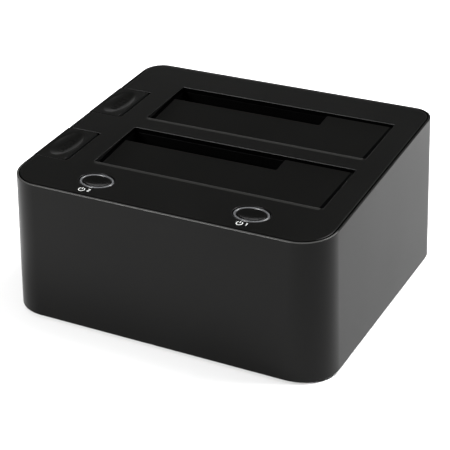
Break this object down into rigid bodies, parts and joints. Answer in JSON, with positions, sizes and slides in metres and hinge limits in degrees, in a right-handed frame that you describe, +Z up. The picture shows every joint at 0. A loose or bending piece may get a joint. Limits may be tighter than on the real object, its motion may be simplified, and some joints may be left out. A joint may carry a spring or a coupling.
{
  "type": "hard drive docking station",
  "caption": "Desktop dock with a drafted black housing, two upright drive slots behind sprung flaps, eject keys that lift the drives and lit oval power keys.",
  "frame": {"origin": "centre of the footprint, on the surface under the rubber feet", "axes": "X to the right along the slots, Y to the rear, Z up; the power keys are at the front, -Y"},
  "size_m": [0.1462, 0.1292, 0.0687],
  "materials": {
    "base_plastic": "moulded, matte",
    "board_green": "solder mask over glass laminate",
    "can_aluminium": "drawn cans",
    "cap_plastic": "satin to gloss",
    "chip_black": "moulded package",
    "coil_ferrite": "pressed ferrite",
    "contact_gold": "gold flash",
    "flap_plastic": "fine moulded texture, matte",
    "foot_rubber": "matte rubber",
    "header_plastic": "natural moulding",
    "housing_plastic": "fine moulded texture, satin",
    "key_plastic": "moulded, satin",
    "lamp_plastic": "clear lamp bodies",
    "panel_plastic": "fine moulded texture, matte",
    "pin_steel": "ground steel",
    "plunger_plastic": "moulded",
    "port_plastic": "moulded",
    "port_steel": "plated sheet",
    "ribbon_grey": "flat flexible lead",
    "ring_plastic": "smoked translucent light guide",
    "rocker_plastic": "natural acetal, satin",
    "screw_steel": "blackened steel",
    "socket_plastic": "glass filled moulding",
    "spring_steel": "spring wire",
    "switch_plastic": "moulded",
    "well_plastic": "moulded, matte"
  },
  "bodies": {
    "dock": {"base_plate": "base_plastic", "board_headers": "header_plastic", "board_screws": "screw_steel", "bridge_chips": "chip_black", "button_board": "board_green", "capacitors": "can_aluminium", "drive_socket_front": "socket_plastic", "drive_socket_rear": "socket_plastic", "drive_well_front": "well_plastic", "drive_well_rear": "well_plastic", "eject_spring_front": "spring_steel", "eject_spring_rear": "spring_steel", "flap_pin_front": "pin_steel", "flap_pin_rear": "pin_steel", "flap_spring_front": "spring_steel", "flap_spring_rear": "spring_steel", "foot_front_left": "foot_rubber", "foot_front_right": "foot_rubber", "foot_rear_left": "foot_rubber", "foot_rear_right": "foot_rubber", "housing": "housing_plastic", "housing_screws": "screw_steel", "jack_pin": "port_steel", "light_ring_1": "ring_plastic", "light_ring_2": "ring_plastic", "main_board": "board_green", "power_coils": "coil_ferrite", "power_jack": "port_plastic", "ribbon_cable": "ribbon_grey", "ring_lamps": "lamp_plastic", "rocker_pin_front": "pin_steel", "rocker_pin_rear": "pin_steel", "socket_contacts_front": "contact_gold", "socket_contacts_rear": "contact_gold", "tact_switch_1": "switch_plastic", "tact_switch_2": "switch_plastic", "top_panel": "panel_plastic", "usb_insert": "port_plastic", "usb_shell": "port_steel"},
    "flap_front": {"flap_front": "flap_plastic"},
    "flap_rear": {"flap_rear": "flap_plastic"},
    "key_front": {"eject_key_front": "key_plastic"},
    "key_rear": {"eject_key_rear": "key_plastic"},
    "rocker_front": {"eject_rocker_front": "rocker_plastic"},
    "rocker_rear": {"eject_rocker_rear": "rocker_plastic"},
    "power_1": {"power_key_1": "cap_plastic", "switch_plunger_1": "plunger_plastic"},
    "power_2": {"power_key_2": "cap_plastic", "switch_plunger_2": "plunger_plastic"}
  },
  "joints": [
    {"name": "flap_front_hinge", "type": "hinge", "parent": "dock", "child": "flap_front", "pos_m": [0.0074, -0.0331, 0.05602], "axis": [-1, 0, 0], "range_deg": [0, 86], "stiffness_Nm_per_rad": 0.004, "springref_deg": -45.84, "deforming": ["flap_spring_front"]},
    {"name": "eject_front_press", "type": "slide", "parent": "dock", "child": "key_front", "axis": [0, 0, -1], "range_m": [0, 0.0045], "stiffness_N_per_m": 300, "springref_m": -0.004},
    {"name": "eject_front_lift", "type": "hinge", "parent": "dock", "child": "rocker_front", "pos_m": [-0.05, -0.018, 0.0116], "axis": [0, -1, 0], "range_deg": [0, 18.5], "deforming": ["eject_spring_front"]},
    {"name": "flap_rear_hinge", "type": "hinge", "parent": "dock", "child": "flap_rear", "pos_m": [0.0074, 0.01105, 0.05866], "axis": [-1, 0, 0], "range_deg": [0, 86], "stiffness_Nm_per_rad": 0.004, "springref_deg": -45.84, "deforming": ["flap_spring_rear"]},
    {"name": "eject_rear_press", "type": "slide", "parent": "dock", "child": "key_rear", "axis": [0, 0, -1], "range_m": [0, 0.0045], "stiffness_N_per_m": 300, "springref_m": -0.004},
    {"name": "eject_rear_lift", "type": "hinge", "parent": "dock", "child": "rocker_rear", "pos_m": [-0.05, 0.02615, 0.0116], "axis": [0, -1, 0], "range_deg": [0, 18.5], "deforming": ["eject_spring_rear"]},
    {"name": "power_1_press", "type": "slide", "parent": "dock", "child": "power_1", "axis": [0, 0.0598, -0.9982], "range_m": [0, 0.0006], "stiffness_N_per_m": 800, "springref_m": -0.001},
    {"name": "power_2_press", "type": "slide", "parent": "dock", "child": "power_2", "axis": [0, 0.0598, -0.9982], "range_m": [0, 0.0006], "stiffness_N_per_m": 800, "springref_m": -0.001}
  ],
  "couplings": [
    {"joint": "eject_front_lift", "follows": "eject_front_press", "rad_per_m": 71.429},
    {"joint": "eject_rear_lift", "follows": "eject_rear_press", "rad_per_m": 71.429}
  ]
}
